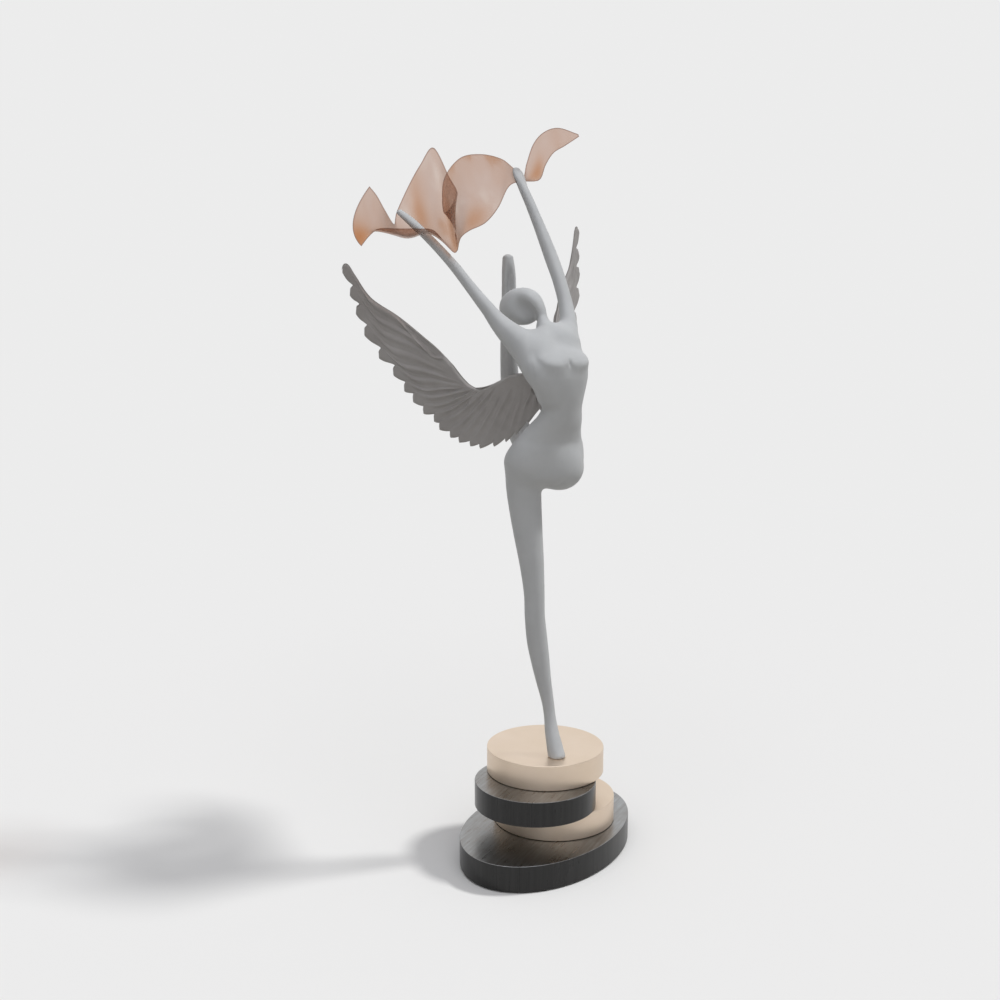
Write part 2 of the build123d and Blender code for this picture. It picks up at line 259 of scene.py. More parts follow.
def felt():
    look = Shader("felt", Sheen_Weight=0.4, Roughness=0.95)
    fibres = look.noise(look.place((1, 1, 1)), 3000, 4)
    shade = look.ramp(fibres, (0.3, (0.015, 0.015, 0.015)), (0.7, (0.05, 0.05, 0.05)))
    look.feed(look.main.inputs["Base Color"], shade)
    look.bump(fibres, 0.0003, 0.8)
    return look.material


def tinted_acrylic():
    """Clear peach-tinted sheet. Light passes straight through and takes the tint twice, once
    at each face; the gloss is added on top, and it grows towards the edges, where its dark
    brown base colour is painted shade for the dark edges of the real sheet. The tint runs in
    soft random bands, paler and deeper: painted light standing in for the streaks that
    reflection and refraction make in the sheet. It is deeper still in the amber spots and
    along the rim: painted shade for light that runs on inside the sheet and through its folds."""
    look = Shader("tinted_acrylic", Roughness=0.05, IOR=1.5)
    # painted shade: the dark brown base colour darkens the sheet where it is seen edge-on
    look.main.inputs["Base Color"].default_value = (0.24, 0.15, 0.11, 1)
    ripples = look.noise(look.place((1, 1, 0.5)), 45, 2)
    look.bump(ripples, 0.0006, 0.3)
    # painted light: pale and deep bands of tint stand in for streaks of reflection and refraction
    painted_light_bands = look.noise(look.place((42, 13, 13)), 1.0, 3, 0.55)
    tint = look.ramp(painted_light_bands, (0.28, (0.77, 0.58, 0.46)), (0.40, (0.83, 0.71, 0.645)),
                     (0.58, (0.85, 0.75, 0.70)), (0.72, (0.91, 0.85, 0.81)))
    # painted shade: the tint is pushed deeper in the amber spots and along the rim
    for mark, colour in (("painted_amber_depth", (0.76, 0.50, 0.33, 1)), ("rim", (0.62, 0.50, 0.45, 1))):
        depth = look.node("ShaderNodeAttribute", {"attribute_name": mark})
        painted_deeper_tint = look.node("ShaderNodeMix", {"data_type": "RGBA"}, Factor=depth.outputs["Fac"])
        look.feed(painted_deeper_tint.inputs[6], tint)
        painted_deeper_tint.inputs[7].default_value = colour
        tint = painted_deeper_tint.outputs[2]
    clear = look.node("ShaderNodeBsdfTransparent", Color=tint)
    facing = look.node("ShaderNodeLayerWeight", Blend=0.5)
    steep = look.node("ShaderNodeMath", {"operation": "POWER"})
    look.feed(steep.inputs[0], facing.outputs["Facing"])
    steep.inputs[1].default_value = 3.0
    share = look.remap(steep.outputs["Value"], 0.0, 1.0, 0.035, 0.9)
    mix = look.node("ShaderNodeMixShader", Fac=share)
    look.tree.links.new(clear.outputs[0], mix.inputs[1])
    look.tree.links.new(look.main.outputs[0], mix.inputs[2])
    output = look.tree.nodes["Material Output"]
    look.tree.links.new(mix.outputs[0], output.inputs["Surface"])
    return look.material


def wear(piece, material):
    piece.data.materials.clear()
    piece.data.materials.append(material)
    for i in range(len(piece.material_slots)):
        piece.material_slots[i].material = material


# ---------------------------------------------------------------- the figure

VOXEL = 0.8        # size of the clay's cells
FAR = 40.0         # distance that stands for empty space
DECK = 71.0        # height of the upper disc's top, which the foot stands on


class Clay:
    """A block of signed distances that limbs are blended into, and then turned into one skin."""

    def __init__(self, low, high):
        self.low = np.array(low, float)
        self.size = np.ceil((np.array(high) - self.low) / VOXEL).astype(int) + 1
        self.field = np.full(tuple(self.size), FAR, np.float32)

    def window(self, low, high):
        start = np.clip(np.floor((low - self.low) / VOXEL).astype(int), 0, self.size - 1)
        stop = np.clip(np.ceil((high - self.low) / VOXEL).astype(int) + 1, start + 1, self.size)
        return start, stop

    def axes(self, start, stop):
        """Coordinates of the block's points between two corners, ready to broadcast."""
        x, y, z = (self.low[i] + VOXEL * np.arange(start[i], stop[i], dtype=np.float32) for i in range(3))
        return x[:, None, None], y[None, :, None], z[None, None, :]

    def add(self, balls, blend, reach=25.0):
        """Joins a string of ellipsoids to the block. The join is soft near the first ball."""
        margin = blend + 2
        centres = np.array([ball[0] for ball in balls])
        sizes = np.array([max(ball[2]) for ball in balls])[:, None]
        start, stop = self.window((centres - sizes).min(0) - margin, (centres + sizes).max(0) + margin)
        added = np.full(tuple(stop - start), FAR, np.float32)
        for centre, frame_axes, radii in balls:
            low = centre - max(radii) - margin
            high = centre + max(radii) + margin
            a, b = self.window(low, high)
            part = tuple(slice(i, j) for i, j in zip(a - start, b - start))
            added[part] = np.minimum(added[part], ellipsoid(self.axes(a, b), centre, frame_axes, radii))
        x, y, z = self.axes(start, stop)
        away = np.sqrt((x - centres[0][0]) ** 2 + (y - centres[0][1]) ** 2 + (z - centres[0][2]) ** 2)
        softness = blend * np.clip(1.4 - away / reach, 0.08, 1)
        part = tuple(slice(i, j) for i, j in zip(start, stop))
        there = self.field[part]
        overlap = np.clip(1 - np.abs(there - added) / softness, 0, 1)
        self.field[part] = np.minimum(there, added) - overlap ** 2 * softness / 4

    def carve(self, centre, radii, axes, softness=2.0):
        """Presses an ellipsoid with the given axes softly into the block."""
        centre = np.array(centre, float)
        reach = max(radii) + softness + 2
        start, stop = self.window(centre - reach, centre + reach)
        part = tuple(slice(i, j) for i, j in zip(start, stop))
        hollow = -ellipsoid(self.axes(start, stop), centre, axes, radii)
        there = self.field[part]
        overlap = np.clip(1 - np.abs(there - hollow) / softness, 0, 1)
        self.field[part] = np.maximum(there, hollow) + overlap ** 2 * softness / 4

    def cut_below(self, height):
        z = self.axes(np.zeros(3, int), self.size)[2]
        self.field = np.maximum(self.field, height - z)

    def skin(self, name):
        grid = openvdb.FloatGrid(FAR)
        grid.copyFromArray(self.field)
        points, quads = grid.convertToQuads(0.0)
        points = np.asarray(points) * VOXEL + self.low
        quads = np.asarray(quads)
        a, b, c, d = (points[quads[:, i]] for i in range(4))
        volume = np.einsum("ij,ij->", np.cross(a, b), c) + np.einsum("ij,ij->", np.cross(a, c), d)
        if volume < 0:
            quads = quads[:, ::-1]
        return make_object(name, points, quads.tolist())


def ellipsoid(axes, centre, frame_axes, radii):
    """About the distance to an ellipsoid, exact at its surface."""
    x, y, z = (axis - np.float32(middle) for axis, middle in zip(axes, centre))
    reach = np.float32(0)
    slope = np.float32(0)
    for direction, radius in zip(frame_axes, radii):
        along = (x * np.float32(direction[0]) + y * np.float32(direction[1]) + z * np.float32(direction[2]))
        along = along / np.float32(radius)
        reach = reach + along ** 2
        slope = slope + (along / np.float32(radius)) ** 2
    reach = np.sqrt(reach)
    slope = np.sqrt(slope)
    tiny = 1e-3
    return (reach - 1) * (reach + tiny) / (slope + tiny / min(radii))


def limb(stations, step=0.8):
    """Ellipsoids strung closely along a smooth line: x, y, z, half width, half depth, and
    where given the backward lean of the section in degrees."""
    stations = np.asarray(stations, float)
    length = np.linalg.norm(np.diff(stations[:, :3], axis=0), axis=1).sum()
    samples = even_spline_of(stations, np.linspace(0, 1, int(length / step) + 2))
    headings = unit(np.gradient(samples[:, :3], axis=0))
    balls = []
    for sample, heading in zip(samples, headings):
        if stations.shape[1] > 5:
            lean = radians(sample[5])
            heading = np.array([0, sin(lean), cos(lean)])
        side = unit(np.array([1, 0, 0]) - heading * heading[0])
        depth = np.cross(heading, side)
        across, along = sample[3], sample[4]
        balls.append((sample[:3], (side, depth, heading), (across, along, min(across, along) * 0.8)))
    return balls


def even_spline_of(stations, shares):
    """A spline through stations whose first three numbers are a place, at shares of its length."""
    fine_at = np.linspace(0, len(stations) - 1, 600)
    fine = spline(stations, fine_at)[:, :3]
    run = np.concatenate([[0], np.cumsum(np.linalg.norm(np.diff(fine, axis=0), axis=1))])
    return spline(stations, np.interp(np.asarray(shares) * run[-1], run, fine_at))


def blob(centre, radii, lean=0.0):
    """One ellipsoid, leaning back by some degrees."""
    turn = radians(lean)
    frame_axes = ((1, 0, 0), (0, cos(turn), -sin(turn)), (0, sin(turn), cos(turn)))
    return [(np.array(centre, float), frame_axes, radii)]


TRUNK = (
    (1.0, 1.0, 264, 23.0, 14.0, 0), (-1.0, 2.0, 270, 25.5, 15.0, 0), (0.0, 1.5, 277, 26.0, 15.0, 0),
    (1.2, 0.0, 284, 22.6, 13.5, 0), (2.6, -3.5, 291, 18.8, 11.8, 0), (4.0, -7.5, 298, 15.8, 10.4, 0),
    (4.6, -10.0, 306, 13.6, 9.8, 0), (4.0, -12.0, 314, 14.6, 9.8, 0), (3.0, -13.0, 321, 16.8, 10.0, 4),
    (2.6, -13.2, 328, 18.2, 10.0, 10), (2.8, -10.5, 335, 17.8, 9.4, 30), (3.0, -4.5, 342, 15.0, 7.6, 52),
    (3.0, 3.0, 348, 10.5, 6.2, 58),
)
STANDING_LEG = (
    (-14.6, 6.0, 269, 12.3, 13.0), (-14.3, 7.0, 254, 11.5, 12.2), (-13.4, 6.5, 240, 10.7, 11.3),
    (-12.2, 4.5, 222, 9.5, 10.0), (-10.5, 2.0, 200, 7.9, 8.3), (-9.5, 0.5, 181, 6.8, 7.2),
    (-9.0, 0.5, 166, 6.7, 7.0), (-6.9, 1.0, 149, 6.9, 7.2), (-4.8, 0.5, 135, 6.2, 6.6),
    (-2.9, -1.0, 121, 5.1, 5.5), (-0.8, -3.0, 107, 4.1, 4.4), (-0.2, -5.0, 97, 3.9, 4.1),
    (-0.4, -8.0, 87.5, 4.6, 4.4), (-0.3, -12.0, 78, 5.4, 5.0), (-0.1, -15.0, 71, 5.8, 6.0),
)
RAISED_LEG = (
    (8.5, -3.5, 265.0, 12.6, 13.6), (11.5, 4.0, 266.5, 13.2, 14.0), (13.5, 18.0, 267, 12.6, 13.0),
    (16.5, 35.0, 266, 11.5, 12.0), (19.0, 52.0, 267, 10.2, 10.6), (20.5, 66.0, 270, 9.3, 9.5),
    (20.0, 76.0, 276.5, 8.6, 8.6), (17.5, 80.0, 288, 8.0, 8.0), (14.0, 78.0, 302, 7.2, 7.5),
    (10.5, 75.0, 318, 6.3, 6.7), (7.5, 71.0, 340, 5.6, 5.8), (6.5, 69.0, 362, 5.0, 5.2),
    (6.2, 68.0, 380, 5.0, 4.6), (6.2, 68.5, 391, 4.7, 4.3), (6.2, 69.5, 399.3, 3.8, 3.6),
)
RIGHT_ARM = (
    (-9.0, 1.0, 344, 7.4, 7.4), (-13.0, 5.0, 347, 7.0, 7.0), (-17.5, 10.5, 350.5, 6.1, 6.1),
    (-24.0, 20.0, 358, 5.5, 5.5), (-30.5, 30.5, 370, 4.5, 4.5), (-37.0, 40.5, 382.5, 3.7, 3.7),
    (-43.0, 50.0, 394.5, 3.4, 3.4), (-49.5, 59.5, 405.5, 3.1, 3.1), (-56.0, 69.0, 415.5, 2.9, 2.9),
    (-62.0, 78.0, 424.0, 3.2, 2.4), (-66.5, 86.0, 430.0, 2.4, 1.8),
)
LEFT_ARM = (
    (13.0, 0.0, 347.5, 7.0, 7.0), (16.5, 4.0, 352, 6.4, 6.4), (19.5, 9.0, 358.5, 5.6, 5.6),
    (22.2, 18.5, 372, 4.7, 4.7), (22.9, 28.0, 386, 4.5, 4.5), (22.9, 37.0, 398, 4.6, 4.6),
    (22.3, 45.5, 410, 4.3, 4.3), (21.4, 54.0, 422, 3.8, 3.8), (19.6, 63.0, 436, 3.4, 3.4),
    (18.8, 71.0, 446, 3.2, 3.2), (19.5, 79.0, 454.5, 4.0, 2.4), (20.6, 85.0, 459, 2.8, 1.8),
)
NECK_AND_HEAD = (
    (3.0, 5.0, 350, 7.0, 6.5), (3.2, 10.0, 354, 5.8, 5.6), (2.6, 16.0, 360.5, 5.0, 5.2),
    (1.2, 20.5, 366, 7.0, 7.6), (-1.0, 25.5, 368.6, 10.0, 11.3), (-3.0, 32.0, 368.8, 11.2, 12.3),
    (-4.8, 38.5, 368, 10.4, 11.0), (-6.0, 43.5, 367, 7.4, 7.6),
)
RIGHT_FLANK = (
    (-8.0, -11.0, 313, 5.0, 6.0), (-11.0, -12.0, 321, 6.0, 7.0), (-14.5, -10.5, 328, 7.0, 8.0),
    (-16.0, -3.0, 336, 7.6, 7.6), (-19.0, 6.5, 345.3, 6.2, 6.2),
    (-23.5, 17.0, 354.5, 4.8, 4.8), (-28.5, 26.5, 364.5, 4.0, 4.0),
)
BREASTS = ((-4.5, -15.5, 336.5), (10.0, -16.2, 336.5))
BREAST_SIZE = (8.6, 7.0, 3.2)
UPRIGHT_AXES = ((1, 0, 0), (0, 1, 0), (0, 0, 1))
FOOT_AXES = ((0.89, -0.45, 0), (0.45, 0.89, 0), (0, 0, 1))
CREASE_AXES = ((0.5, -0.25, -0.83), (0.45, 0.89, 0), (0.74, -0.37, 0.56))
THROAT_AXES = ((0.63, -0.32, -0.707), (0.63, -0.32, 0.707), (-0.45, -0.89, 0))
# Pressed hollows: centre, radii, axes, softness
CLEAVAGE = ((3.0, -23.2, 336.0), (0.6, 1.6, 2.6), UPRIGHT_AXES, 1.5)
THROAT = ((-5.0, 20.6, 366.0), (8.5, 4.4, 3.8), THROAT_AXES, 7)
RAISED_SOLE = ((4.0, 62.6, 384), (2.4, 4.2, 12), FOOT_AXES, 2)
HIP_CREASE = ((0.5, -14.5, 254.5), (1.2, 3.0, 5.0), CREASE_AXES, 3)


def figure():
    """Body, head, arms and raised leg in one soft skin. The order of the joins matters."""
    clay = Clay((-74, -34, 66), (34, 98, 468))
    clay.add(limb(TRUNK), 1)
    clay.add(limb(STANDING_LEG), 8, reach=30)
    clay.add(limb(RAISED_LEG), 9, reach=30)
    clay.add(limb(RIGHT_FLANK), 6, reach=60)
    for centre in BREASTS:
        clay.add(blob(centre, BREAST_SIZE, -28), 6)
    clay.carve(*CLEAVAGE)
    clay.add(limb(NECK_AND_HEAD), 12, reach=22)
    clay.add(limb(RIGHT_ARM), 12, reach=30)
    clay.add(limb(LEFT_ARM), 12, reach=30)
    for hollow in (THROAT, RAISED_SOLE, HIP_CREASE):
        clay.carve(*hollow)
    clay.cut_below(DECK)
    return clay.skin("figure")


# ---------------------------------------------------------------- the wings

WING_ROOT = np.array((4.5, -3.0, 312.0))
WING_SWEEP = radians(37.5)
WING_ROLL = radians(7.9)
WING_SPAN = 140.0
WING_SAG = 14.0
# Edges of the wing in its own plane: distance from the root, height
WING_ARM_EDGE = ((5, 10), (14, 13), (24, 15), (35, 14), (46, 10), (60, 5), (68, 7), (74, 13), (80, 22))
WING_HAND_EDGE = ((80, 22), (90, 34), (98, 42), (114, 58), (130, 72), (138, 88), (141.5, 96), (144.5, 97),
                  (146.5, 93))
FEATHER_TIPS = (
    (5, -6), (16, -11), (28, -20), (39, -28), (48, -33), (58, -36), (69, -37), (76, -35), (84, -32),
    (90, -28), (97, -22), (100, -16), (107, -10), (113, -1), (118, 7), (124, 19), (132, 32), (139, 49),
    (142, 64), (144, 77), (146.5, 93),
)
FEATHERS = len(FEATHER_TIPS) - 1
# Curved cuts near the root, and the hollow on the leading edge behind the wrist
ROOT_CUTS = (((16.5, 9), (14, 6), (12.5, 2)), ((19, 4), (16, 0), (15.5, -5), (16.5, -9)))
TUCK = ((83, 27), (115, 59))
TUCK_WIDTH = 6.5
LEFT_EXTRA_SWEEP = radians(1.5)


def wing_plan(s, t):
    """Points of the wing's plane for s from root to tip and t from leading edge to feather tips."""
    count = len(s)
    leading = even_spline(WING_ARM_EDGE, s[:, 0])[:, None]
    trailing = spline(FEATHER_TIPS, s[:, 0] * FEATHERS)[:, None]
    root_top, root_bottom = np.array(WING_ARM_EDGE[0]), np.array(FEATHER_TIPS[0])
    wrist, tip = np.array(WING_HAND_EDGE[0]), np.array(WING_HAND_EDGE[-1])
    flat_t = t.reshape(-1)
    outer = even_spline(WING_HAND_EDGE, flat_t).reshape(count, -1, 2)
    s, t = s[..., None], t[..., None]
    root = root_top + (root_bottom - root_top) * t
    corners = ((1 - s) * (1 - t) * root_top + s * (1 - t) * wrist
               + (1 - s) * t * root_bottom + s * t * tip)
    return (1 - t) * leading + t * trailing + (1 - s) * root + s * outer - corners


def wing_height(s, t, plan):
    """Carved relief above the wing's face, in millimetres."""
    sway = 0.18 * np.sin(5 * t + 9 * s)
    share = (s * FEATHERS + sway * (1 - t)) % 1.0
    fade = smooth_step(0.10, 0.60, t) * (0.55 + 0.45 * smooth_step(0.25, 0.6, s))
    groove = np.exp(-(np.minimum(share, 1 - share) / 0.2) ** 2)
    wave = 0.5 - 0.5 * np.cos(2 * pi * share ** 1.5)
    crisp = smooth_step(0.72, 0.95, t)
    relief = fade * ((1 - crisp) * 1.35 * (wave - 0.4) + crisp * (1.2 * share ** 1.6 - 0.4 - 0.4 * groove))
    covert_share = (s * FEATHERS * 0.7 + 1.6 * t + sway) % 1.0
    covert = 1 - smooth_step(0.40, 0.56, t + 0.05 * np.sin(2 * pi * covert_share))
    covert_groove = np.exp(-(np.minimum(covert_share, 1 - covert_share) / 0.22) ** 2)
    relief += covert * (0.7 - 0.8 * covert_groove * smooth_step(0.12, 0.35, t))
    relief -= 1.6 * sum(np.exp(-(line_distance(plan, cut) / 0.85) ** 2) for cut in ROOT_CUTS)
    return relief + tuck_height(plan)


def tuck_height(plan):
    """A lens-shaped hollow behind the wrist, with a raised lip along its lower side."""
    start, stop = np.array(TUCK[0], float), np.array(TUCK[1], float)
    length = np.linalg.norm(stop - start)
    heading = (stop - start) / length
    along = (plan - start) @ heading / length
    inwards = (plan - start) @ np.array((heading[1], -heading[0]))
    depth = TUCK_WIDTH * smooth_step(-0.02, 0.22, along) * np.clip(1 - along, 0, 1) ** 0.8
    inside = smooth_step(-0.4, 0.5, depth - inwards) * smooth_step(0.4, 1.6, inwards + 0.6)
    inside = inside * smooth_step(0.0, 0.06, along) * smooth_step(0.0, 0.1, 1 - along)
    lip = np.exp(-((inwards - depth - 0.7) / 0.8) ** 2)
    lip = lip * smooth_step(0, 0.1, along) * smooth_step(0, 0.2, 1 - along)
    return 1.1 * lip - 1.5 * inside


def line_distance(points, line):
    """Distance of each point from a string of short straight pieces."""
    nearest = np.full(points.shape[:-1], 1e9)
    for start, stop in zip(np.array(line[:-1], float), np.array(line[1:], float)):
        run = stop - start
        share = np.clip(((points - start) @ run) / max(run @ run, 1e-9), 0, 1)
        nearest = np.minimum(nearest, np.linalg.norm(points - start - share[..., None] * run, axis=-1))
    return nearest


def wing_points():
    """Both faces of the left wing, before the roll, in the frame's axes."""
    rows, columns = 460, 84
    s_line = np.linspace(0, 1, rows)
    t_line = np.linspace(0, 1, columns)
    s, t_share = np.meshgrid(s_line, t_line, indexing="ij")
    share = (s * FEATHERS) % 1.0
    share[s >= 1] = 1.0
    shaft_length = np.linalg.norm(wing_plan(s_line[:, None], np.ones((rows, 1)))[:, 0]
                                  - wing_plan(s_line[:, None], np.full((rows, 1), 0.5))[:, 0], axis=1) * 2
    recess = 2.2 + 2.6 * smooth_step(0.6, 0.95, s)
    tooth = np.maximum((1 - share) ** 1.4, smooth_step(0.86, 1.0, share) * 0.5)
    tooth[s >= 1] = 0
    t = t_share * (1 - recess * tooth / np.maximum(shaft_length, 20)[:, None])
    plan = wing_plan(s, t)
    rim = np.vstack([plan[::3, 0], plan[-1, ::3], plan[::-1, -1][::3]])
    blunt = line_distance(plan, rim)
    blunt[:, 0] = blunt[-1, :] = blunt[:, -1] = 0
    body = 1.9 - 1.15 * smooth_step(0.05, 0.9, t) - 0.35 * s
    rounding = 2.2 - 1.3 * t
    half = body * np.sqrt(1 - (1 - np.clip(blunt / rounding, 0, 1)) ** 2)
    relief = wing_height(s, t, plan) * np.clip(blunt / 1.2, 0, 1)
    face = np.maximum(half + relief, np.minimum(half, 0.35))
    bow_radius = ((WING_SPAN / 2) ** 2 + WING_SAG ** 2) / (2 * WING_SAG)
    bow = np.sqrt(bow_radius ** 2 - (plan[..., 0] - WING_SPAN / 2) ** 2) - (bow_radius - WING_SAG)
    along = np.array((sin(WING_SWEEP), cos(WING_SWEEP), 0))
    outwards = np.array((cos(WING_SWEEP), -sin(WING_SWEEP), 0))
    up = np.array((0, 0, 1))
    middle = WING_ROOT + plan[..., :1] * along + plan[..., 1:] * up
    outer = middle + (face - bow)[..., None] * outwards
    inner = middle - (face + bow)[..., None] * outwards
    return outer, inner


def rolled(points):
    """Turned about the line through the root that runs front to back."""
    x, y, z = np.moveaxis(points - WING_ROOT, -1, 0)
    across, rise = cos(WING_ROLL), sin(WING_ROLL)
    turned = np.stack([x * across - z * rise, y, x * rise + z * across], -1)
    return turned + WING_ROOT


def swung(points):
    """The left wing is spread a little wider than the right one."""
    x, y, z = np.moveaxis(points - WING_ROOT, -1, 0)
    turn = -LEFT_EXTRA_SWEEP
    turned = np.stack([x * cos(turn) - y * sin(turn), x * sin(turn) + y * cos(turn), z], -1)
    return turned + WING_ROOT


def wings():
    outer, inner = wing_points()
    left = closed_sheet("left_wing_feathers", rolled(swung(outer)), rolled(swung(inner)))
    flip = np.array((-1, 1, 1))
    shift = np.array((2 * WING_ROOT[0], 0, 0))
    right = closed_sheet("right_wing_feathers", rolled(inner * flip + shift), rolled(outer * flip + shift))
    return left, right


# ---------------------------------------------------------------- the scarf

SCARF_THICK = 0.9
# Near edge, middle and far edge of the sheet at each station along its length
SCARF = (
    ((-105, 58, 408), (-108, 64, 424), (-92, 75, 446)), ((-98, 60, 415), (-97, 68, 423), (-86, 77, 440)),
    ((-91, 62, 419), (-87, 71, 419), (-79, 81, 431)), ((-77, 60, 419), (-74, 76, 415), (-68, 92, 422)),
    ((-66, 56, 419), (-64, 80, 414), (-61, 104, 430)), ((-57, 53, 418), (-53, 84, 421), (-51, 106, 448)),
    ((-51, 48, 410), (-46, 80, 426), (-43, 104, 462)), ((-46, 45, 404), (-39, 76, 434), (-35, 100, 473)),
    ((-43, 46, 405), (-33, 74, 426), (-26, 95, 454)), ((-41.5, 48, 407), (-31, 75, 424), (-19.5, 96, 442)),
    ((-40, 50, 410), (-30, 79, 421), (-26, 103, 430)), ((-36, 54, 414), (-25, 84, 430), (-22, 112, 452)),
    ((-28, 58, 418), (-16, 86, 442), (-10, 112, 467)),
    ((-15, 61, 423), (-4, 84, 447), (3, 106, 470)), ((-3, 66, 433), (7, 83, 452), (15, 98, 467)),
    ((8, 72, 447), (14, 82, 455), (21, 92, 461)), ((19, 75, 451), (23, 81, 452), (27, 87, 454)),
    ((32, 73, 452), (30, 79, 457), (28, 84, 463)), ((36, 71, 462), (34, 76, 469), (31, 80, 476)),
    ((41, 69, 470), (39, 74, 477), (37, 76, 484)), ((50, 69, 475), (49, 72, 481), (47, 73, 487)),
    ((61, 69, 481.5), (61, 69.5, 482), (61, 70, 483)),
)
# Painted shade, deeper amber spots: station, share of the width from the near edge, reach in each, depth
PAINTED_AMBER_SPOTS = (
    (0.2, 0.15, 1.1, 0.30, 0.9), (2.4, 0.30, 0.9, 0.25, 0.4), (5.3, 0.62, 0.5, 0.30, 0.55),
    (7.6, 0.35, 0.5, 0.30, 0.5), (9.6, 0.70, 0.8, 0.28, 0.75), (12.2, 0.12, 0.8, 0.15, 0.5),
    (17.2, 0.30, 0.7, 0.30, 0.6),
)
# painted shade: the darker line of tint along the edges
PAINTED_RIM_WIDTH = 0.75         # width of the darker line along the edges


def scarf():
    """A stiff sheet of even thickness with rounded edges."""
    rows, columns = 420, 56
    stations = np.array(SCARF, float)
    lines = spline(stations.reshape(len(stations), -1), np.linspace(0, len(stations) - 1, rows))
    near, middle, far = (lines[:, None, i:i + 3] for i in (0, 3, 6))
    w = 0.5 - 0.5 * np.cos(np.linspace(0, pi, columns))[None, :, None]
    sheet = near * (1 - w) * (1 - 2 * w) + middle * 4 * w * (1 - w) + far * w * (2 * w - 1)
    lengthwise = np.gradient(sheet, axis=0)
    crosswise = np.gradient(sheet, axis=1)
    lift = unit(np.cross(lengthwise, crosswise))
    rim = np.vstack([sheet[::4, 0], sheet[-1, ::4], sheet[::-1, -1][::4], sheet[0, ::-1][::4]])
    blunt = line_distance(sheet, rim)
    blunt[0, :] = blunt[-1, :] = blunt[:, 0] = blunt[:, -1] = 0
    half = SCARF_THICK / 2 * np.sqrt(1 - (1 - np.clip(blunt / 0.9, 0, 1)) ** 2) + 0.04
    piece = closed_sheet("scarf_sheet", sheet + half[..., None] * lift, sheet - half[..., None] * lift)
    along = np.linspace(0, len(stations) - 1, rows)[:, None]
    across = w[..., 0]
    # painted shade: amber spots where the sheet looks deeper from light passing through its folds
    painted_amber_depth = np.zeros((rows, columns))
    for station, share, length, breadth, depth in PAINTED_AMBER_SPOTS:
        away = ((along - station) / length) ** 2 + ((across - share) / breadth) ** 2
        painted_amber_depth = np.maximum(painted_amber_depth, depth * np.exp(-away))
    # painted shade: the rim mark darkens the tint along the edges
    for mark, values in (("painted_amber_depth", painted_amber_depth), ("rim", 1 - smooth_step(0.25 * PAINTED_RIM_WIDTH, PAINTED_RIM_WIDTH, blunt))):
        layer = piece.data.attributes.new(mark, "FLOAT", "POINT")
        layer.data.foreach_set("value", np.tile(values.ravel(), 2).astype(np.float32))
    return piece


# ---------------------------------------------------------------- stage

BACKDROP = 0.84
TOWARDS_SOFTBOX = (-0.19, -0.38, 0.906)
TOWARDS_BACKDROP = (0.454, 0.891, 0)
SOFTBOX = (1.42, 1.46, 1.54, 1)
SOFTBOX_IN_GLOSS = (1.9, 1.95, 2.04, 1)
KEY_HEIGHT = 52.0
KEY_BEARING = 75.0
KEY_SPREAD = 8.5
FLOOR_REACH = 30
FLOOR_FADE = (0.5, 1.3)
FLOOR_SEEN = (0.845, 0.824, 0.797, 1)
FLOOR_BOUNCE = (0.40, 0.39, 0.37, 1)
CAMERA_PLACE = (-0.4351, -0.7847, 0.4171)
CAMERA_DIP = 10.93
CAMERA_BEARING = -27.0


def grey(level):
    return (level, level, level, 1)


def world():
    """Soft surroundings with a softbox above the front. Gloss sees a brighter and wider softbox
    and the pale backdrop behind the object, and the camera sees plain pale grey."""
    made = bpy.data.worlds.new("studio")
    bpy.context.scene.world = made
    made.use_nodes = True
    tree = made.node_tree

    def add(kind, **inputs):
        node = tree.nodes.new(kind)
        for socket, value in inputs.items():
            put(node.inputs[socket.replace("_", " ")], value)
        return node

    def put(socket, value):
        if isinstance(value, bpy.types.NodeSocket):
            tree.links.new(value, socket)
        else:
            socket.default_value = value

    def blend(share, first, second):
        node = tree.nodes.new("ShaderNodeMix")
        node.data_type = "RGBA"
        put(node.inputs["Factor"], share)
        put(node.inputs[6], first)
        put(node.inputs[7], second)
        return node.outputs[2]

    heading = add("ShaderNodeTexCoord").outputs["Generated"]
    height = add("ShaderNodeSeparateXYZ", Vector=heading).outputs["Z"]
    sky = add("ShaderNodeValToRGB", Fac=height)
    stops = sky.color_ramp.elements
    stops[0].position, stops[0].color = 0.0, (0.12, 0.12, 0.115, 1)
    stops[1].position, stops[1].color = 1.0, (0.45, 0.465, 0.50, 1)
    halfway = stops.new(0.5)
    halfway.color = (0.31, 0.315, 0.325, 1)

    def towards(direction, low, high):
        turned = tree.nodes.new("ShaderNodeVectorMath")
        turned.operation = "DOT_PRODUCT"
        put(turned.inputs[0], heading)
        put(turned.inputs[1], direction)
        spread = add("ShaderNodeMapRange", Value=turned.outputs["Value"], From_Min=low, From_Max=high)
        spread.interpolation_type = "SMOOTHSTEP"
        return spread.outputs["Result"]

    softbox = blend(towards(TOWARDS_SOFTBOX, 0.75, 0.98), sky.outputs["Color"], SOFTBOX)
    path = add("ShaderNodeLightPath")
    gloss = blend(towards(TOWARDS_SOFTBOX, 0.6, 0.95), sky.outputs["Color"], SOFTBOX_IN_GLOSS)
    reflected = blend(towards(TOWARDS_BACKDROP, -0.1, 0.85), gloss, grey(0.95))
    lit = blend(path.outputs["Is Glossy Ray"], softbox, reflected)
    put(tree.nodes["Background"].inputs["Color"], blend(path.outputs["Is Camera Ray"], lit, grey(BACKDROP)))


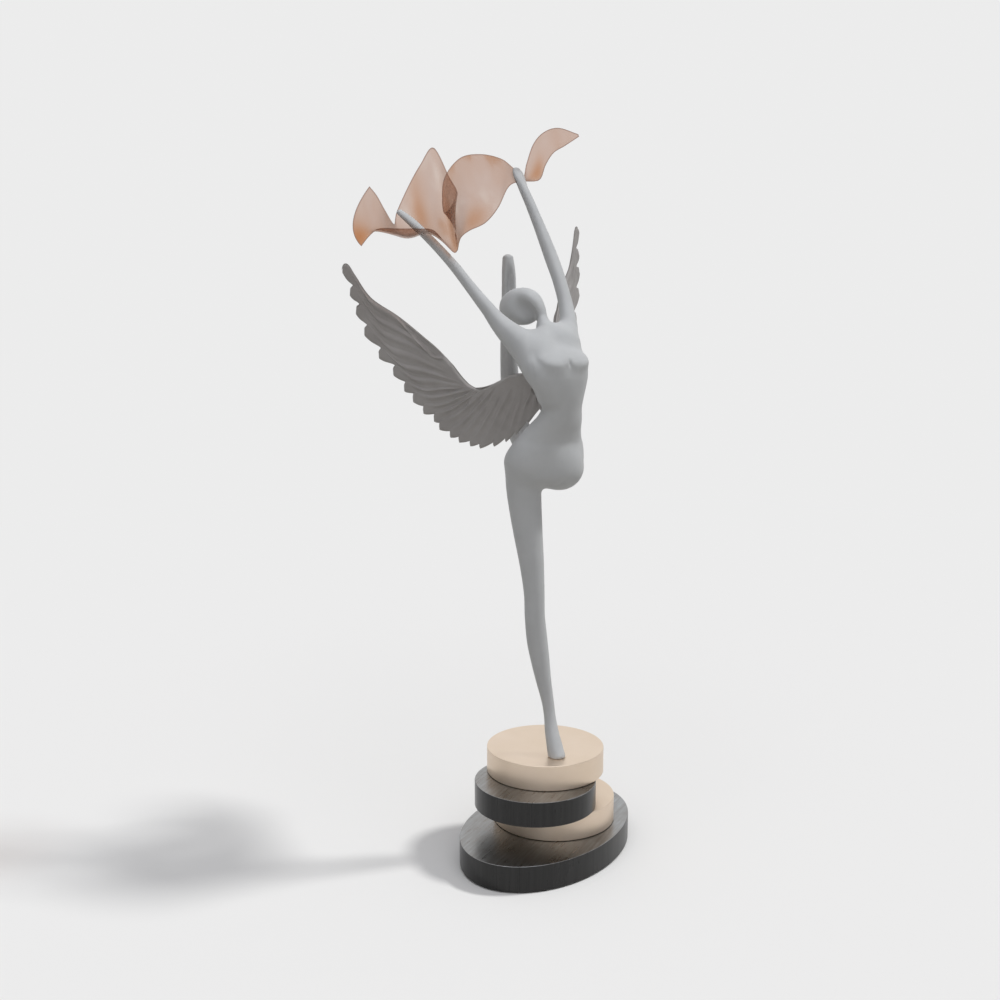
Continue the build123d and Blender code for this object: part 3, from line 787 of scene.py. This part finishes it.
def key_light():
    """A large soft source high on the picture's right and a little behind, without glints."""
    data = bpy.data.lights.new("key", "SUN")
    data.energy = 1.7
    data.angle = radians(KEY_SPREAD)
    data.color = (0.97, 0.99, 1)
    lamp = bpy.data.objects.new("key", data)
    bpy.context.scene.collection.objects.link(lamp)
    lamp.rotation_euler = (radians(90 - KEY_HEIGHT), 0, radians(KEY_BEARING))
    lamp.visible_glossy = False


def floor():
    """Pale ground that fades into the backdrop, and sends less light up than it shows."""
    corners = [(x * FLOOR_REACH, y * FLOOR_REACH, 0) for x, y in ((-1, -1), (1, -1), (1, 1), (-1, 1))]
    ground = make_object("floor", np.array(corners) / MM, [[0, 1, 2, 3]])
    look = Shader("floor", Roughness=0.9)
    look.main.inputs["Specular IOR Level"].default_value = 0.0
    path = look.node("ShaderNodeLightPath")
    shade = look.node("ShaderNodeMix", {"data_type": "RGBA"}, Factor=path.outputs["Is Diffuse Ray"])
    shade.inputs[6].default_value = FLOOR_SEEN
    shade.inputs[7].default_value = FLOOR_BOUNCE
    look.feed(look.main.inputs["Base Color"], shade.outputs[2])
    distance = look.node("ShaderNodeVectorMath", {"operation": "LENGTH"},
                         Vector=look.node("ShaderNodeTexCoord").outputs["Object"])
    far = look.remap(distance.outputs["Value"], *FLOOR_FADE, 0.0, 1.0)
    seen = look.node("ShaderNodeMath", {"operation": "MULTIPLY"})
    look.feed(seen.inputs[0], far)
    look.feed(seen.inputs[1], path.outputs["Is Camera Ray"])
    glow = look.node("ShaderNodeEmission", Color=grey(BACKDROP))
    mix = look.node("ShaderNodeMixShader", Fac=seen.outputs["Value"])
    look.tree.links.new(look.main.outputs[0], mix.inputs[1])
    look.tree.links.new(glow.outputs[0], mix.inputs[2])
    look.tree.links.new(mix.outputs[0], look.tree.nodes["Material Output"].inputs["Surface"])
    wear(ground, look.material)


def camera():
    data = bpy.data.cameras.new("camera")
    data.lens = 50
    data.sensor_width = 36
    made = bpy.data.objects.new("camera", data)
    bpy.context.scene.collection.objects.link(made)
    made.location = CAMERA_PLACE
    made.rotation_euler = (radians(90 - CAMERA_DIP), 0, radians(CAMERA_BEARING))
    bpy.context.scene.camera = made


# ---------------------------------------------------------------- assembly

camera()
world()
key_light()
floor()
bpy.context.scene.view_settings.view_transform = "Standard"

silver = silver_paint()
skin = figure()
wear(skin, silver)
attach(skin, "root")
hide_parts("figure_body", "figure_head", "right_arm", "left_arm", "raised_leg")

feather_paint = wing_paint()
for wing, node in zip(wings(), ("left_wing", "right_wing")):
    wear(wing, feather_paint)
    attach(wing, "root")
    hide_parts(node)

veil = scarf()
wear(veil, tinted_acrylic())
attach(veil, "root")
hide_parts("scarf")

finishes = {
    "gunmetal": gunmetal(),
    "champagne_gold": champagne_gold(),
    "steel": steel(),
    "felt": felt(),
    "silver_paint": silver,
    "wing_paint": feather_paint,
}
for entry in frame["record"]["subparts"]:
    finish = finishes.get(entry["material_slot"])
    if finish:
        wear(nodes[entry["node"]], finish)
